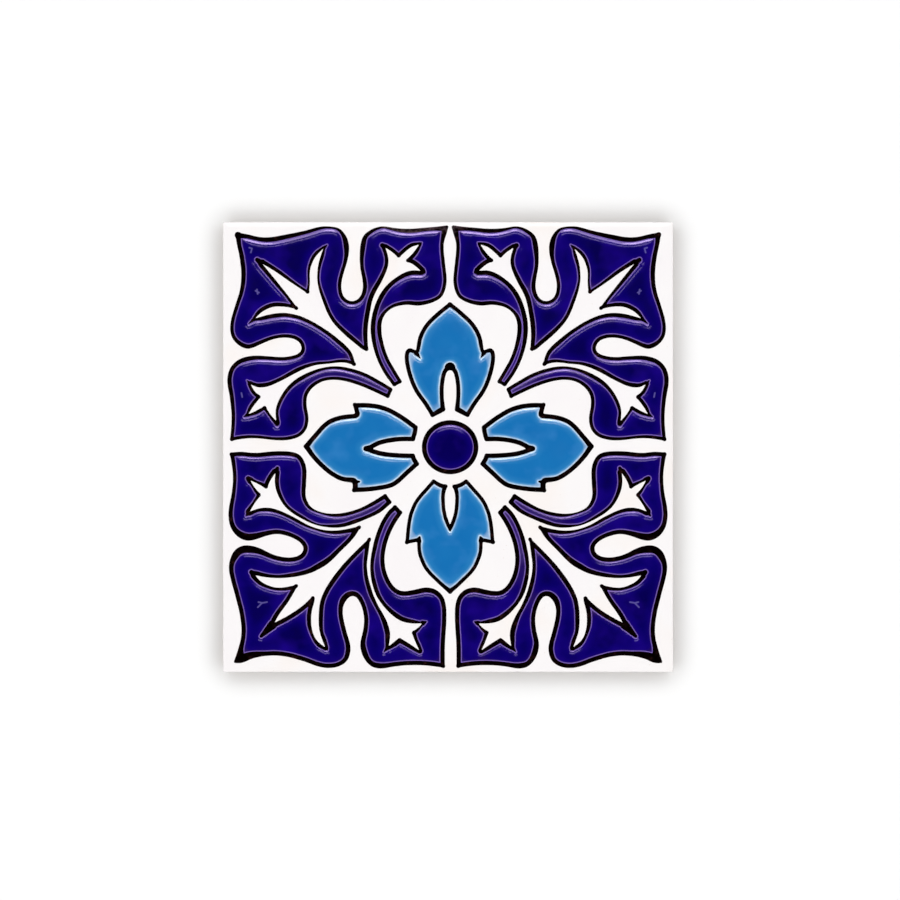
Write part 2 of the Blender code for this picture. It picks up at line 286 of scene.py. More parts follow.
def drawing_of(name):
    """Return which drawing a figure follows, and how it was folded over, or None."""
    if name.endswith("scroll"):
        level = name.split("_")[0]
        fold = UPPER_FOLD if level == "upper" else LOWER_FOLD
        return level + "_scroll", fold if "right" in name else None
    if name in ("left_petal", "right_petal"):
        return "side_petal", UPPER_FOLD if name == "right_petal" else None
    return name, None


def folded(x, fold):
    """Return where a place on one half of the drawing lies on the other half."""
    return fold[0] - (x - fold[0]) * fold[1]


def glint_distance(points):
    """Return how far each point lies from the nearest painted glint, in millimetres."""
    nearest = np.full(len(points), NO_GLINT)
    for fold, strokes in PAINTED_GLINTS:
        for x0, y0, x1, y1 in strokes:
            for start_x, end_x in ((x0, x1), (folded(x0, fold), folded(x1, fold))):
                start = np.array((start_x, y0))
                span = np.array((end_x, y1)) - start
                along = np.clip((points - start) @ span / (span @ span), 0.0, 1.0)
                away = points - start - along[:, None] * span
                nearest = np.minimum(nearest, np.hypot(*away.T))
    return nearest


def evenly(rows, step):
    """Return points at an even step along a closed outline."""
    closed = np.vstack([rows, rows[:1]])
    lengths = np.hypot(*np.diff(closed, axis=0).T)
    along = np.concatenate([[0.0], np.cumsum(lengths)])
    marks = np.arange(0.0, along[-1], step)
    return np.column_stack([np.interp(marks, along, closed[:, axis]) for axis in (0, 1)])


def ink_of(name):
    """Return the ink's centres as rows x, y and its reach at each, in millimetres."""
    drawing, fold = drawing_of(name)
    centres = evenly(outlines[name], INK_STEP)
    unfolded = centres.copy()
    if fold:
        unfolded[:, 0] = fold[0] - (centres[:, 0] - fold[0]) / fold[1]
    elif name in ("upper_petal", "lower_petal", "disc"):
        unfolded[:, 0] = MIDDLE - np.abs(centres[:, 0] - MIDDLE)
    reach = np.full(len(centres), PEN_WIDTH[drawing])
    for x, y, change, spread in PRESSURE.get(drawing, []):
        away = np.hypot(unfolded[:, 0] - x, unfolded[:, 1] - y)
        reach += change * np.exp(-(away / spread) ** 2)
    drawn = len(centres)
    for x0, y0, x1, y1, *widths in SPURS.get(drawing, []):
        start, end = widths or (SPUR_START * PEN_WIDTH[drawing], SPUR_END)
        if not widths:
            away = np.hypot(unfolded[:, 0] - x0, unfolded[:, 1] - y0)
            reach[:drawn] -= SPUR_EASE * np.exp(-(away / SPUR_EASE_REACH) ** 2)
        if fold:
            x0, x1 = folded(x0, fold), folded(x1, fold)
        share = np.linspace(0.0, 1.0, SPUR_POINTS)
        spur = np.column_stack([x0 + (x1 - x0) * share, y0 + (y1 - y0) * share])
        centres = np.vstack([centres, spur])
        reach = np.concatenate([reach, start + (end - start) * share])
    return centres, reach


inks = {name: ink_of(name) for name in outlines}
for name, (centres, reach) in inks.items():
    print(name, "line", round(reach.min(), 2), "to", round(reach.max(), 2), "mm wide")

# %% [markdown]
# A glaze field reaches as far as the ink lets it. So for every point of a fine grid over the
# figure the room is measured that is left between it and the nearest ink. Where the room is
# more than nothing there is glaze. The room is written as the grid's height for a moment, so
# that plain level cuts give clean borders and clean rings near the border.

# %% Room between the ink
CELL = 0.8
FINER = (1.1, 0.35)
FAR = 5.0
PATCH = 8.0
PATCH_ROW = 1000
LOOP_STEP = 1.0
OUTSIDE_DROP = 1.0
GLINT_CLEAR = 1.2
GLINT_WIDE = 0.45


def room_in_patch(points, centres, reach, loop):
    """Return the room at a few points that lie close together."""
    x = points[:, 0:1]
    y = points[:, 1:2]
    ahead = np.roll(loop, -1, axis=0)
    spans = (loop[:, 1].clip(max=y.max()) < ahead[:, 1].clip(min=y.min())) | (
        ahead[:, 1].clip(max=y.max()) < loop[:, 1].clip(min=y.min()))
    here, there = loop[spans], ahead[spans]
    crosses = (here[:, 1] > y) != (there[:, 1] > y)
    rise = np.where(there[:, 1] == here[:, 1], 1.0, there[:, 1] - here[:, 1])
    cross_x = here[:, 0] + (there[:, 0] - here[:, 0]) * (y - here[:, 1]) / rise
    inside = np.sum(crosses & (x < cross_x), axis=1) % 2 == 1
    near = np.all((centres > points.min(axis=0) - FAR) & (centres < points.max(axis=0) + FAR),
                  axis=1)
    if not near.any():
        return np.where(inside, FAR, -FAR)
    away = np.hypot(x - centres[near, 0], y - centres[near, 1])
    clear = (away - reach[near]).min(axis=1)
    return np.where(inside, clear, -away.min(axis=1) - OUTSIDE_DROP).clip(-FAR, FAR)


def room_at(points, name):
    """Return how far each point lies from the ink of its figure, below zero outside it."""
    centres, reach = inks[name]
    loop = evenly(outlines[name], LOOP_STEP)
    patches = np.floor(points / PATCH).astype(int)
    keys = patches[:, 0] * PATCH_ROW + patches[:, 1]
    order = np.argsort(keys, kind="stable")
    room = np.empty(len(points))
    for rows in np.split(order, np.flatnonzero(np.diff(keys[order])) + 1):
        room[rows] = room_in_patch(points[rows], centres, reach, loop)
    return room


def room_grid(name):
    """Return a fine grid over a figure whose height is the room, in metres."""
    low = outlines[name].min(axis=0)
    high = outlines[name].max(axis=0)
    counts = [int(math.ceil(span / CELL)) for span in high - low]
    bpy.ops.mesh.primitive_grid_add(x_subdivisions=counts[0], y_subdivisions=counts[1], size=1.0)
    grid = bpy.context.object
    rows = places(grid)
    rows[:, :2] = low + (rows[:, :2] + 0.5) * (high - low)
    rows[:, 2] = room_at(rows[:, :2], name)
    put(grid, rows * MM)
    for near in FINER:
        finer_near_border(grid, near)
        rows = places(grid) / MM
        rows[:, 2] = room_at(rows[:, :2], name)
        put(grid, rows * MM)
    return grid


def finer_near_border(grid, near):
    """Halve the cells that lie within a distance of the ink's border, or near a painted glint."""
    alone(grid)
    bpy.ops.object.mode_set(mode="EDIT")
    bpy.ops.mesh.select_mode(type="FACE")
    bpy.ops.mesh.select_all(action="DESELECT")
    bpy.ops.object.mode_set(mode="OBJECT")
    rows = places(grid) / MM
    near_glint = glint_distance(rows[:, :2]) < GLINT_CLEAR
    for face in grid.data.polygons:
        corners = list(face.vertices)
        levels = rows[corners, 2]
        near_ink = levels.min() < near and levels.max() > -near
        face.select = bool(near_ink or near_glint[corners].any())
    bpy.ops.object.mode_set(mode="EDIT")
    bpy.ops.mesh.subdivide(number_cuts=1)
    bpy.ops.object.mode_set(mode="OBJECT")


def cut_level(piece, level, keep_above):
    """Cut a mesh level at a height in millimetres, and drop what lies below if asked."""
    alone(piece)
    bpy.ops.object.mode_set(mode="EDIT")
    bpy.ops.mesh.select_all(action="SELECT")
    bpy.ops.mesh.bisect(plane_co=(0.0, 0.0, level * MM), plane_no=(0.0, 0.0, 1.0),
                        clear_inner=keep_above, threshold=MERGE)
    bpy.ops.object.mode_set(mode="OBJECT")


fields = {}
for name in outlines:
    fields[name] = room_grid(name)
    cut_level(fields[name], 0.0, True)
    print(name, "glaze field of", len(fields[name].data.polygons), "cells")

# %% [markdown]
# The black line is manganese mixed with grease. The grease holds the wet glazes apart, burns
# off in the kiln and leaves a dry, matt, brownish black band, barely raised. Its outer edge
# is the figure's outline, rounded at sharp tips, where a brush leaves a small blob. Its
# inner edge is the glaze field's border, taken a little further in, because the melted glaze
# rolls over the line. Both edges in one flat curve, filled, give the band with its hole. In a
# few places at the head of the tile the ink is thin, and its greyish colour there is partly a
# painted sheen.

# %% The black line
GROUND = 0.0093
LINE_HEIGHT = 0.00006
LINE_FOOT = 0.00005
OVERLAP = 0.3
EDGE_STEP = 0.25
EDGE_SOFTEN = 12
EDGE_OUT = 0.08
TIP_TURN = math.radians(55.0)
TIP_SPAN = 4
TIP_APART = 6
TIP_ROUND = 0.95
TIP_MARK_REACH = 4.0
TIP_SOFTEN = 3
TIP_MARKS = ((-95, 95, 1.5), (96, 95, 1.2), (-96, -96, 0.35), (98, -96, 0.35),
             (-1, 97, 0.3), (3, 97, 0.3), (0.9, 64, 1.2))
# Places at the head of the tile where the ink is thin and greyish, the grey partly a painted
# sheen.
THIN_INK_AND_SHEEN = ((-28, 97, 4, 0.4), (-20, 97, 5, 0.7), (-11, 97, 5, 0.7), (-3, 97.5, 3, 0.9),
            (5, 97.5, 3, 0.9), (9.5, 97, 3, 0.6), (16, 97, 4, 0.3))


def softened(rows, times):
    """Return a closed row of points, each one drawn a few times towards its neighbours."""
    for _ in range(times):
        rows = (np.roll(rows, 1, axis=0) + 2 * rows + np.roll(rows, -1, axis=0)) / 4
    return rows


def tip_discs(rows, way):
    """Return the round blobs that the brush leaves at sharp tips, as rows x, y, radius."""
    arrive = rows - np.roll(rows, TIP_SPAN, axis=0)
    leave = np.roll(rows, -TIP_SPAN, axis=0) - rows
    cross = arrive[:, 0] * leave[:, 1] - arrive[:, 1] * leave[:, 0]
    turn = way * np.arctan2(cross, np.sum(arrive * leave, axis=1))
    shifts = range(-TIP_APART, TIP_APART + 1)
    around = np.max([np.roll(turn, shift) for shift in shifts], axis=0)
    discs = []
    for number in np.flatnonzero((turn > TIP_TURN) & (turn == around)):
        x, y = rows[number]
        radius = TIP_ROUND
        for mark_x, mark_y, marked in TIP_MARKS:
            if math.hypot(x - mark_x, y - mark_y) < TIP_MARK_REACH:
                radius = marked
        inward = leave[number] - arrive[number]
        x, y = rows[number] + radius * inward / math.hypot(*inward)
        discs.append((x, y, radius))
    return discs


def outer_edge(name):
    """Return a wire mesh along the outline, its tips rounded as a brush leaves them."""
    rows = evenly(outlines[name], EDGE_STEP)
    along = np.roll(rows, -1, axis=0) - np.roll(rows, 1, axis=0)
    way = np.sign(np.sum(rows[:, 0] * along[:, 1] - rows[:, 1] * along[:, 0]))
    discs = tip_discs(rows, way)
    outward = np.column_stack([along[:, 1], -along[:, 0]]) * way
    rows = softened(rows + EDGE_OUT * outward / np.hypot(*outward.T)[:, None], EDGE_SOFTEN)
    for x, y, radius in discs:
        away = rows - (x, y)
        far = np.hypot(*away.T)
        inside = far < radius
        rows[inside] = (x, y) + radius * away[inside] / far[inside, None]
    rows = softened(rows, TIP_SOFTEN)
    bpy.ops.mesh.primitive_circle_add(vertices=len(rows), radius=0.01, fill_type="NOTHING")
    outer = bpy.context.object
    put(outer, np.column_stack([rows * MM, np.zeros(len(rows))]))
    return outer


def inner_edge(name):
    """Return a wire mesh that follows the border of a field, a little inside it."""
    alone(fields[name])
    bpy.ops.object.duplicate()
    inner = bpy.context.object
    cut_level(inner, OVERLAP, True)
    rows = places(inner)
    rows[:, 2] = 0.0
    put(inner, rows)
    bpy.ops.object.mode_set(mode="EDIT")
    select_border()
    bpy.ops.mesh.select_all(action="INVERT")
    bpy.ops.mesh.delete(type="EDGE_FACE")
    bpy.ops.object.mode_set(mode="OBJECT")
    return inner


def line_band(name):
    """Return the band of black line round one field as a closed thin mesh."""
    inner = inner_edge(name)
    band = outer_edge(name)
    alone(band)
    inner.select_set(True)
    bpy.ops.object.join()
    bpy.ops.object.convert(target="CURVE")
    band.data.dimensions = "2D"
    band.data.fill_mode = "BOTH"
    band.data.extrude = (LINE_HEIGHT + LINE_FOOT) / 2
    bpy.ops.object.convert(target="MESH")
    bpy.ops.object.mode_set(mode="EDIT")
    bpy.ops.mesh.select_all(action="SELECT")
    bpy.ops.mesh.remove_doubles(threshold=MERGE)
    bpy.ops.mesh.normals_make_consistent(inside=False)
    bpy.ops.object.mode_set(mode="OBJECT")
    rows = places(band)
    rows[:, 2] = np.where(rows[:, 2] > 0, GROUND + LINE_HEIGHT, GROUND - LINE_FOOT)
    put(band, rows)
    return band


def thin_ink_and_sheen(piece):
    """Return how thin the ink is at each point, together with its painted sheen, from 0 to about
    1.
    """
    x, y = (places(piece)[:, :2] / MM).T
    thin = np.zeros(len(x))
    for mark_x, mark_y, spread, weight in THIN_INK_AND_SHEEN:
        thin += weight * np.exp(-(np.hypot(x - mark_x, y - mark_y) / spread) ** 2)
    return thin


bands = [line_band(name) for name in outlines]
print("bands", len(bands))

# %% [markdown]
# Melted glaze stands against the line with a small rounded lip and swells towards the middle
# of its field until it lies level, so a narrow stem is a ridge and a wide leaf is a cushion.
# The room gives that height. More level cuts near the border leave rings of points, so the
# lip is smooth. Some values stay with each point for the colour: the room in millimetres as
# edge_distance, the room smoothed around the point as pool_depth and further around as
# wash_depth, and the nearness of the painted glints. Thin glaze is pale at the lip, and deep
# glaze is dark. A narrow stem is pale all over, partly as thin glaze and partly as a painted
# reflection of its sloping sides.

# %% Glaze cushions
LIP_RINGS = (0.06, 0.15, 0.28, 0.45, 0.8, 1.3, 2.0, 3.0)
LIP_FOOT = 0.05
BORDER_RISE = 0.06
LIP_RISE = 0.27
LIP_REACH = 0.45
SWELL = 0.36
SWELL_REACH = 3.0
SHEET_CELL = 0.4
SHEET_MARGIN = 8
SWELL_BLUR = 0.6
POOL_BLUR = 3.5
WASH_BLUR = 6.0
WASH_ENDS = 0.4
INNER_END = 20.0
SMOOTH = math.radians(50.0)


def lip_height(room):
    """Return the height of the rounded lip alone, in millimetres."""
    short = 1.0 - np.clip(room / LIP_REACH, 0.0, 1.0)
    return BORDER_RISE + LIP_RISE * np.sqrt(1.0 - short ** 2)


def blurred(sheet, reach):
    """Blur a sheet of numbers softly, by a reach in cells."""
    offsets = np.arange(-int(3 * reach), int(3 * reach) + 1)
    weights = np.exp(-offsets ** 2 / (2 * reach ** 2))
    weights /= weights.sum()
    for axis in (0, 1):
        sheet = sum(weight * np.roll(sheet, offset, axis=axis)
                    for offset, weight in zip(offsets, weights))
    return sheet


def read_sheet(sheet, low, points):
    """Read a sheet of numbers at points, straight between its four nearest cells."""
    spot = (points - low) / SHEET_CELL
    cell = np.floor(spot).astype(int)
    u, v = (spot - cell).T
    x, y = cell.T
    return ((sheet[x, y] * (1 - u) + sheet[x + 1, y] * u) * (1 - v)
            + (sheet[x, y + 1] * (1 - u) + sheet[x + 1, y + 1] * u) * v)


def soft_sheets(name, points):
    """Return the swell of the glaze and its depth smoothed less and more, at each point."""
    low = outlines[name].min(axis=0) - SHEET_MARGIN
    high = outlines[name].max(axis=0) + SHEET_MARGIN
    xs = np.arange(low[0], high[0], SHEET_CELL)
    ys = np.arange(low[1], high[1], SHEET_CELL)
    spots = np.stack(np.meshgrid(xs, ys, indexing="ij"), axis=-1).reshape(-1, 2)
    room = room_at(spots, name).clip(min=0.0).reshape(len(xs), len(ys))
    short = 1.0 - np.clip(room / SWELL_REACH, 0.0, 1.0)
    swell = blurred(SWELL * (1.0 - short ** 2), SWELL_BLUR)
    inner_end = np.clip(2.0 - np.hypot(*spots.T) / INNER_END, 0.0, 1.0).reshape(room.shape)
    wash = blurred(room, WASH_BLUR) + WASH_ENDS * inner_end
    sheets = (swell, blurred(room, POOL_BLUR), wash)
    return [read_sheet(sheet, low, points) for sheet in sheets]


def cushion(name):
    """Turn a field into a closed cushion of glaze."""
    piece = fields[name]
    for level in LIP_RINGS:
        cut_level(piece, level, False)
    rows = places(piece)
    room = rows[:, 2] / MM
    swell, pool, wash = soft_sheets(name, rows[:, :2] / MM)
    keep_value(piece, "edge_distance", room)
    keep_value(piece, "pool_depth", pool)
    keep_value(piece, "wash_depth", wash)
    # Nearness of the painted glints, kept for the cobalt colour.
    painted_glint = 1.0 - glint_distance(rows[:, :2] / MM) / GLINT_WIDE
    keep_value(piece, "painted_glint", painted_glint.clip(min=0.0))
    rows[:, 2] = GROUND + (lip_height(room) + swell) * MM
    put(piece, rows)
    alone(piece)
    bpy.ops.object.mode_set(mode="EDIT")
    select_border()
    bpy.ops.mesh.extrude_region_move(TRANSFORM_OT_translate={"value": (0.0, 0.0, -LIP_FOOT * MM)})
    bpy.ops.transform.resize(value=(1.0, 1.0, 0.0), center_override=(0.0, 0.0, GROUND))
    bpy.ops.mesh.fill_holes(sides=0)
    bpy.ops.mesh.select_all(action="SELECT")
    bpy.ops.mesh.normals_make_consistent(inside=False)
    bpy.ops.object.mode_set(mode="OBJECT")
    bpy.ops.object.shade_smooth_by_angle(angle=SMOOTH)
    return piece


cushions = {name: cushion(name) for name in fields}
print("highest glaze", round(max(places(item)[:, 2].max() for item in cushions.values()) / MM, 2))

# %% [markdown]
# Each finish is a small node material. A few helpers keep them short: one adds a node, one a
# ramp whose stops are given at distances in millimetres, one a soft noise on object places.

# %% Helpers for materials
STUDIO_LIGHT = 1.235


def linear(red, green, blue):
    """Turn a colour, 0 to 255 a channel, into the linear values that light adds in."""
    levels = []
    for value in (red, green, blue):
        share = value / 255
        levels.append(share / 12.92 if share <= 0.04045 else ((share + 0.055) / 1.055) ** 2.4)
    return (*levels, 1.0)


def seen(red, green, blue):
    """Return the paint that looks like this colour under the bright studio light."""
    return (*(level / STUDIO_LIGHT for level in linear(red, green, blue)[:3]), 1.0)


def new_material(name):
    """Return a material with a principled surface, its node and its links."""
    material = bpy.data.materials.new(name)
    material.use_nodes = True
    surface = material.node_tree.nodes["Principled BSDF"]
    surface.inputs["IOR"].default_value = 1.5
    return material, surface


def node(material, kind, **settings):
    """Add a node of a kind to a material and set its plain settings."""
    made = material.node_tree.nodes.new(kind)
    for key, value in settings.items():
        setattr(made, key, value)
    return made


def noise(material, size_mm, detail=2.0):
    """Return the value socket of a soft noise on object places, its lumps of a size in mm."""
    spots = node(material, "ShaderNodeTexCoord")
    made = node(material, "ShaderNodeTexNoise")
    made.inputs["Scale"].default_value = 1.0 / (size_mm * MM)
    made.inputs["Detail"].default_value = detail
    material.node_tree.links.new(spots.outputs["Object"], made.inputs["Vector"])
    return made.outputs["Fac"]


def ramp(material, source, stops, reach=1.0):
    """Return the colour socket of a ramp. Its stops are pairs of a distance and a colour."""
    scaled = node(material, "ShaderNodeMath", operation="DIVIDE")
    scaled.inputs[1].default_value = reach
    made = node(material, "ShaderNodeValToRGB")
    line = made.color_ramp
    while len(line.elements) < len(stops):
        line.elements.new(0.5)
    for element, (distance, colour) in zip(line.elements, stops):
        element.position = distance / reach
        element.color = colour
    material.node_tree.links.new(source, scaled.inputs[0])
    material.node_tree.links.new(scaled.outputs[0], made.inputs["Fac"])
    return made.outputs["Color"]


def sum_of(material, first, second, share):
    """Return first + (second - 0.5) * share as a value socket."""
    centred = node(material, "ShaderNodeMath", operation="SUBTRACT")
    centred.inputs[1].default_value = 0.5
    added = node(material, "ShaderNodeMath", operation="MULTIPLY_ADD")
    added.inputs[1].default_value = share
    material.node_tree.links.new(second, centred.inputs[0])
    material.node_tree.links.new(centred.outputs[0], added.inputs[0])
    material.node_tree.links.new(first, added.inputs[2])
    return added.outputs[0]


def mix(material, first, second, factor, kind="MIX"):
    """Return the colour socket of two colours mixed. A colour may be a socket or a value."""
    made = node(material, "ShaderNodeMix", data_type="RGBA", blend_type=kind)
    for socket, value in ((made.inputs[6], first), (made.inputs[7], second),
                          (made.inputs[0], factor)):
        if isinstance(value, bpy.types.NodeSocket):
            material.node_tree.links.new(value, socket)
        else:
            socket.default_value = value
    return made.outputs[2]


def bump(material, surface, height, depth_mm):
    """Give a surface a bump from a value socket, its depth in millimetres."""
    made = node(material, "ShaderNodeBump")
    made.inputs["Strength"].default_value = 1.0
    made.inputs["Distance"].default_value = depth_mm * MM
    material.node_tree.links.new(height, made.inputs["Height"])
    material.node_tree.links.new(made.outputs["Normal"], surface.inputs["Normal"])


def grey_range(material, source, low, high):
    """Return a value socket that runs from low to high as the source runs from 0.3 to 0.7."""
    made = node(material, "ShaderNodeMapRange")
    made.inputs["From Min"].default_value = 0.3
    made.inputs["From Max"].default_value = 0.7
    made.inputs["To Min"].default_value = low
    made.inputs["To Max"].default_value = high
    material.node_tree.links.new(source, made.inputs["Value"])
    return made.outputs["Result"]


def kept_value(material, name):
    """Return the value socket of a value that the mesh keeps with each point."""
    return node(material, "ShaderNodeAttribute", attribute_name=name).outputs["Fac"]


# %% [markdown]
# Cobalt glaze is nearly black blue where it pools. It thins to violet over the lip, where
# the white coat shines through. On narrow stems its pale colour is partly thin glaze and partly
# a painted reflection. Soft clouds of more and less pigment lie in it, a few painted glints
# are pale strokes in it, and the surface is glossy and faintly uneven.

# %% Cobalt glaze
def cobalt_material():
    """Return the cobalt glaze."""
    material, surface = new_material("cobalt_glaze")
    links = material.node_tree.links
    pool = sum_of(material, kept_value(material, "pool_depth"), noise(material, 3.0), 0.3)
    # Shallow pools are paler: thin glaze over the white coat, and on narrow stems partly a
    # painted reflection of their sloping sides.
    body = ramp(material, pool, [
        (0.2, seen(68, 54, 116)), (0.6, seen(38, 22, 102)), (1.1, seen(20, 3, 116)),
        (2.2, seen(12, 1, 108)), (4.0, seen(8, 0, 90))], reach=5.0)
    edge = sum_of(material, kept_value(material, "edge_distance"), noise(material, 1.5), 0.12)
    lip = ramp(material, edge, [(0.25, (1, 1, 1, 1)), (0.55, (0, 0, 0, 1))])
    clouds = ramp(material, noise(material, 12.0, 3.0), [
        (0.3, linear(255, 255, 255)), (0.7, linear(220, 150, 222))])
    deep = mix(material, body, clouds, 1.0, "MULTIPLY")
    bright = ramp(material, noise(material, 13.0, 2.0), [
        (0.5, (0, 0, 0, 1)), (0.8, (0.8, 0.8, 0.8, 1))])
    deep = mix(material, deep, seen(30, 6, 138), bright)
    # Painted glints: pale lilac strokes at the listed places, standing for small highlights.
    painted_glint = ramp(material, kept_value(material, "painted_glint"), [
        (0.0, (0, 0, 0, 1)), (0.6, (0.5, 0.5, 0.5, 1))])
    deep = mix(material, deep, seen(122, 112, 190), painted_glint)
    links.new(mix(material, deep, seen(118, 92, 180), lip), surface.inputs["Base Color"])
    links.new(grey_range(material, noise(material, 6.0), 0.07, 0.12), surface.inputs["Roughness"])
    surface.inputs["Specular Tint"].default_value = (0.72, 0.54, 1.0, 1.0)
    bump(material, surface, noise(material, 5.0, 2.0), 0.012)
    return material


cobalt = cobalt_material()
print("cobalt glaze has", len(cobalt.node_tree.nodes), "nodes")

# %% [markdown]
# The light blue glaze of the petals is opaque and milky. Its pigment draws back from the
# line, so a pale seam more than a millimetre wide runs all round each petal.

# %% Light blue glaze
def light_blue_material():
    """Return the light blue glaze."""
    material, surface = new_material("light_blue_glaze")
    links = material.node_tree.links
    edge = sum_of(material, kept_value(material, "edge_distance"), noise(material, 3.0), 0.5)
    depth = ramp(material, edge, [
        (0.1, seen(218, 234, 251)), (0.4, seen(190, 218, 245)), (0.9, seen(88, 156, 210)),
        (1.7, seen(42, 128, 192)), (4.0, seen(26, 118, 187))], reach=5.0)
    thin = sum_of(material, kept_value(material, "wash_depth"), noise(material, 4.0), 0.4)
    wash = ramp(material, thin, [(0.5, (0.65, 0.65, 0.65, 1)), (0.85, (0.45, 0.45, 0.45, 1)),
                                 (1.25, (0, 0, 0, 1))], reach=2.0)
    depth = mix(material, depth, seen(176, 196, 226), wash)
    milky = ramp(material, noise(material, 9.0, 2.0), [
        (0.5, (0, 0, 0, 1)), (0.75, (0.55, 0.55, 0.55, 1))])
    depth = mix(material, depth, seen(56, 132, 200), milky)
    clouds = ramp(material, noise(material, 11.0, 3.0), [
        (0.3, linear(255, 255, 255)), (0.75, linear(232, 244, 250))])
    links.new(mix(material, depth, clouds, 1.0, "MULTIPLY"), surface.inputs["Base Color"])
    links.new(grey_range(material, noise(material, 6.0), 0.08, 0.16), surface.inputs["Roughness"])
    bump(material, surface, noise(material, 5.0, 2.0), 0.012)
    return material


light_blue = light_blue_material()
print("light blue glaze has", len(light_blue.node_tree.nodes), "nodes")

# %% [markdown]
# The line is dry and matt, so it is rough, with a brown cast where the brush left little.
# At the head of the tile it is greyish, partly where it nearly ran out and partly as a painted
# sheen. The coat is a plain glossy white, and the clay is grainy.

# %% Line, white coat and clay
def line_material():
    """Return the dry black line."""
    material, surface = new_material("black_line")
    links = material.node_tree.links
    colour = ramp(material, noise(material, 2.5, 3.0), [
        (0.4, linear(2, 0, 0)), (0.6, linear(8, 3, 3)), (0.72, linear(34, 16, 14))])
    # Greyish ink at the head of the tile: thin ink, and partly a painted sheen.
    worn_and_sheen = sum_of(material, kept_value(material, "thin_ink_and_sheen"), noise(material, 1.2, 3.0), 1.2)
    share = ramp(material, worn_and_sheen, [(0.3, (0, 0, 0, 1)), (1.2, (1, 1, 1, 1))], reach=1.5)
    links.new(mix(material, colour, seen(110, 88, 94), share), surface.inputs["Base Color"])
    surface.inputs["Roughness"].default_value = 0.8
    surface.inputs["Specular IOR Level"].default_value = 0.0
    bump(material, surface, noise(material, 0.5, 3.0), 0.01)
    return material


def white_material():
    """Return the white glaze coat, faintly warm and faintly pink in places."""
    material, surface = new_material("white_coat")
    links = material.node_tree.links
    colour = ramp(material, noise(material, 30.0, 2.0), [
        (0.35, seen(253, 249, 250)), (0.55, seen(254, 251, 251)), (0.7, seen(254, 248, 245))])
    specks = ramp(material, noise(material, 0.9, 1.0), [
        (0.78, linear(255, 255, 255)), (0.84, linear(226, 214, 200))])
    links.new(mix(material, colour, specks, 1.0, "MULTIPLY"), surface.inputs["Base Color"])
    links.new(grey_range(material, noise(material, 8.0), 0.1, 0.2), surface.inputs["Roughness"])
    bump(material, surface, noise(material, 9.0, 3.0), 0.03)
    return material


def clay_material():
    """Return the fired buff clay, grainy and matt."""
    material, surface = new_material("fired_clay")
    links = material.node_tree.links
    broad = ramp(material, noise(material, 18.0, 4.0), [
        (0.3, linear(172, 156, 141)), (0.7, linear(150, 133, 118))])
    grain = ramp(material, noise(material, 0.7, 3.0), [
        (0.35, linear(212, 200, 190)), (0.6, linear(255, 255, 255))])
    links.new(mix(material, broad, grain, 1.0, "MULTIPLY"), surface.inputs["Base Color"])
    surface.inputs["Roughness"].default_value = 0.9
    surface.inputs["Specular IOR Level"].default_value = 0.2
    bump(material, surface, noise(material, 0.8, 4.0), 0.15)
    return material


black = line_material()
white = white_material()
clay = clay_material()
print("finishes", ", ".join(item.name for item in (cobalt, light_blue, black, white, clay)))

# %% [markdown]
# The slab was pressed from coarse clay and dried flat, so its faces are a little uneven and
# its edges worn. It lies just inside the coat, and its back stays bare.

# %% Clay body
BODY_SIDE = 0.1990
BODY_LOW = 0.0001
BODY_TOP = 0.0090
BODY_ROUND = 0.0007
BODY_ROUND_STEPS = 3
BODY_CUTS = 40
BODY_SMOOTH = math.radians(40.0)
LUMPS = 0.016
UNEVEN = 0.00018


def clay_body():
    """Return the slab of fired clay."""
    height = BODY_TOP - BODY_LOW
    bpy.ops.mesh.primitive_cube_add(size=1.0, location=(0, 0, BODY_LOW + height / 2),
                                    scale=(BODY_SIDE, BODY_SIDE, height))
    body = bpy.context.object
    bpy.ops.object.transform_apply(location=True, rotation=True, scale=True)
    bpy.ops.object.mode_set(mode="EDIT")
    bpy.ops.mesh.select_all(action="SELECT")
    bpy.ops.mesh.bevel(offset=BODY_ROUND, segments=BODY_ROUND_STEPS)
    bpy.ops.mesh.select_mode(type="FACE")
    bpy.ops.mesh.select_all(action="DESELECT")
    bpy.ops.object.mode_set(mode="OBJECT")
    for face in body.data.polygons:
        face.select = face.area > BODY_SIDE * height / 2
    bpy.ops.object.mode_set(mode="EDIT")
    bpy.ops.mesh.subdivide(number_cuts=BODY_CUTS)
    bpy.ops.object.mode_set(mode="OBJECT")
    grain = bpy.data.textures.new("clay_lumps", type="CLOUDS")
    grain.noise_scale = LUMPS
    lumps = body.modifiers.new("lumps", "DISPLACE")
    lumps.texture = grain
    lumps.strength = UNEVEN
    bpy.ops.object.modifier_apply(modifier="lumps")
    bpy.ops.object.shade_smooth_by_angle(angle=BODY_SMOOTH)
    return body


settle(clay_body(), "clay_body", clay)

# %% [markdown]
# The white coat is poured over the face and runs a little way down the sides, where it ends
# in an uneven thick edge. It starts as a grid for the face. The grid's border is pulled down
# in rings, and the rings are placed: over the rounded rim, down the side, and in again under
# the thick edge. Then it gets its thickness.

# %% White coat
COAT_CELLS = 80
COAT_THICK = 0.0004
RIM_ROUND = 0.0005
COAT_RINGS = ((0.35, 0.07), (0.7, 0.3), (1.0, 1.0))
COAT_END = 0.0072
COAT_WANDER = 0.0009
COAT_WAVES = ((0.5, 5, 0.8), (0.3, 13, 0.0), (0.2, 29, 2.0))
COAT_ROLL = 0.0003


def pull_ring(coat):
    """Pull a new ring of faces out of the mesh's open border."""
    bpy.ops.object.mode_set(mode="EDIT")
    select_border()
    bpy.ops.mesh.extrude_region_move(TRANSFORM_OT_translate={"value": (0.0, 0.0, 0.0)})
    bpy.ops.object.mode_set(mode="OBJECT")
    flags = np.empty(len(coat.data.vertices), dtype=bool)
    coat.data.vertices.foreach_get("select", flags)
    return flags


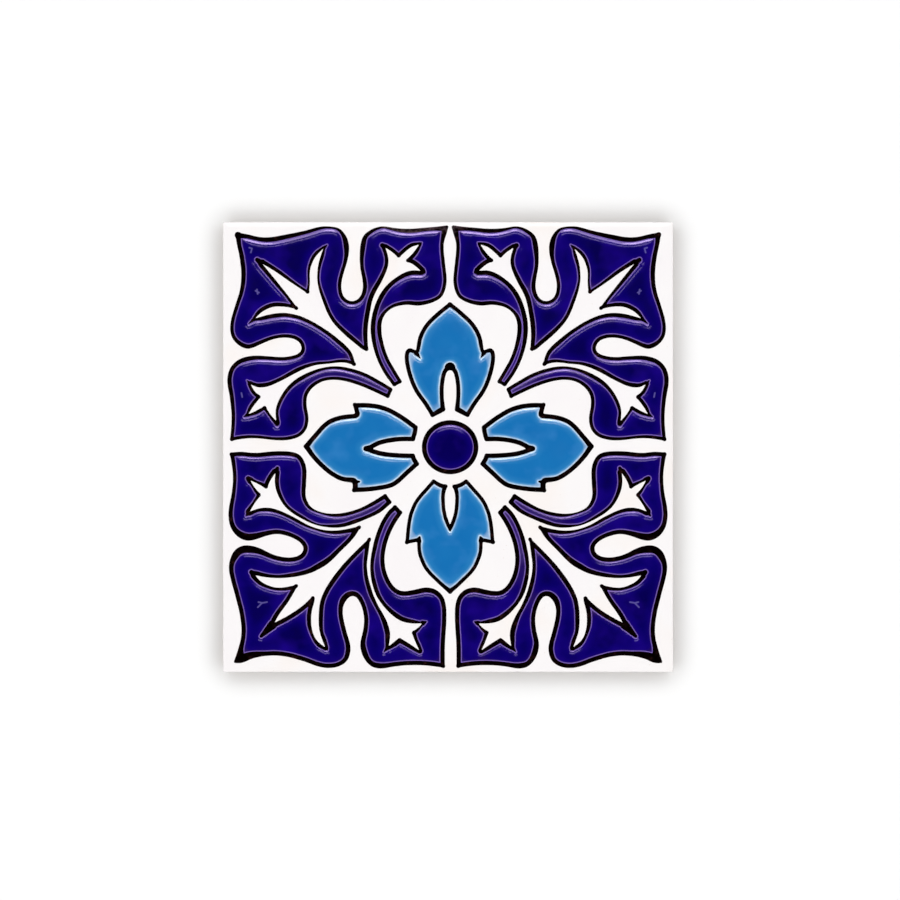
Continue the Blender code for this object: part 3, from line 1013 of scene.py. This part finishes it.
def white_coat():
    """Return the coat of white glaze."""
    inner = SIDE / 2 - RIM_ROUND
    bpy.ops.mesh.primitive_grid_add(x_subdivisions=COAT_CELLS, y_subdivisions=COAT_CELLS,
                                    size=2 * inner, location=(0, 0, GROUND))
    coat = bpy.context.object
    bpy.ops.object.transform_apply(location=True, rotation=True, scale=True)
    for out, down in COAT_RINGS:
        ring = pull_ring(coat)
        rows = places(coat)
        rows[ring, :2] *= (inner + RIM_ROUND * out) / np.abs(rows[ring, :2]).max()
        rows[ring, 2] = GROUND - RIM_ROUND * down
        put(coat, rows)
    ring = pull_ring(coat)
    rows = places(coat)
    turn = np.arctan2(rows[ring, 1], rows[ring, 0])
    wave = sum(share * np.sin(count * turn + start) for share, count, start in COAT_WAVES)
    rows[ring, 2] = COAT_END + COAT_WANDER * wave
    put(coat, rows)
    ring = pull_ring(coat)
    rows = places(coat)
    rows[ring, :2] *= (SIDE / 2 - COAT_ROLL) / (SIDE / 2)
    rows[ring, 2] -= COAT_ROLL
    put(coat, rows)
    thick = coat.modifiers.new("thick", "SOLIDIFY")
    thick.thickness = COAT_THICK
    thick.offset = -1.0
    bpy.ops.object.modifier_apply(modifier="thick")
    bpy.ops.object.shade_smooth_by_angle(angle=SMOOTH)
    return coat


settle(white_coat(), "white_glaze", white)

# %% [markdown]
# Now the bands are joined to one line piece, and each cushion gets its glaze. The petals are
# light blue, and the scrolls and the disc are cobalt.

# %% Dress the line and the cushions
alone(bands[0])
for band in bands:
    band.select_set(True)
bpy.ops.object.join()
keep_value(bands[0], "thin_ink_and_sheen", thin_ink_and_sheen(bands[0]))
settle(bands[0], "black_line", black)

for name, piece in cushions.items():
    if name.endswith("petal"):
        settle(piece, name, light_blue)
    else:
        settle(piece, name, cobalt)

# %% [markdown]
# The tile lies on a pure white ground under one large soft light, seen straight from above
# through a long lens, so its sides aren't seen. The sky is white all round with a dark patch
# right overhead, as over a copying stand: level glaze mirrors that patch and stays deep, and
# only the sloping lips mirror the white. Three far lights beyond the head of the tile are
# there only to be mirrored: they draw the bright streaks along the upper lips.

# %% Floor, light and camera
FLOOR_SIDE = 6.0
PAPER = (0.81, 0.81, 0.81, 1.0)
SKY = 2.27
SKY_LEVELS = ((0.0, 0.12), (0.45, 0.2), (0.6, 1.0), (0.87, 1.0), (0.9, 0.0))
STRIP_AWAY = 5.0
VIEW_WIDTH = 0.4
VIEW_MIDDLE = (0.000889, -0.001333)
LENS = 200.0
SENSOR = 36.0

bpy.ops.mesh.primitive_plane_add(size=FLOOR_SIDE)
floor = bpy.context.object
floor.name = "floor"
paper, paper_surface = new_material("white_paper")
paper_surface.inputs["Base Color"].default_value = PAPER
paper_surface.inputs["Roughness"].default_value = 1.0
paper_surface.inputs["Specular IOR Level"].default_value = 0.0
floor.data.materials.append(paper)

world = bpy.data.worlds.new("studio")
bpy.context.scene.world = world
world.use_nodes = True
tree = world.node_tree
direction = tree.nodes.new("ShaderNodeTexCoord")
split = tree.nodes.new("ShaderNodeSeparateXYZ")
levels = tree.nodes.new("ShaderNodeValToRGB")
while len(levels.color_ramp.elements) < len(SKY_LEVELS):
    levels.color_ramp.elements.new(0.5)
for element, (height, glow) in zip(levels.color_ramp.elements, SKY_LEVELS):
    element.position = height
    element.color = (glow, glow, glow, 1.0)
tree.links.new(direction.outputs["Generated"], split.inputs[0])
tree.links.new(split.outputs["Z"], levels.inputs["Fac"])
tree.links.new(levels.outputs["Color"], tree.nodes["Background"].inputs["Color"])
tree.nodes["Background"].inputs["Strength"].default_value = SKY


def strip(name, from_overhead, length, spread, glow):
    """Add a far light beyond the head of the tile, its place and spread in degrees."""
    turn = math.radians(from_overhead)
    place = Vector((0.0, STRIP_AWAY * math.sin(turn), STRIP_AWAY * math.cos(turn)))
    bpy.ops.object.light_add(type="AREA", location=place)
    light = bpy.context.object
    light.name = name
    light.data.shape = "RECTANGLE"
    light.data.size = length
    light.data.size_y = 2 * STRIP_AWAY * math.tan(math.radians(spread / 2))
    light.data.energy = glow * math.pi * light.data.size * light.data.size_y
    light.visible_diffuse = False
    light.rotation_euler = (-place).to_track_quat("-Z", "Y").to_euler()


strip("broad_strip", 22.0, 4.0, 7.0, 10.0)
strip("thin_strip", 11.5, 1.3, 3.0, 6.0)
strip("lamp", 24.0, 0.8, 7.0, 13.0)

bpy.ops.object.camera_add(location=(*VIEW_MIDDLE, GROUND + VIEW_WIDTH * LENS / SENSOR))
camera = bpy.context.object
camera.data.lens = LENS
camera.data.sensor_width = SENSOR
bpy.context.scene.camera = camera
bpy.context.scene.view_settings.view_transform = "Standard"
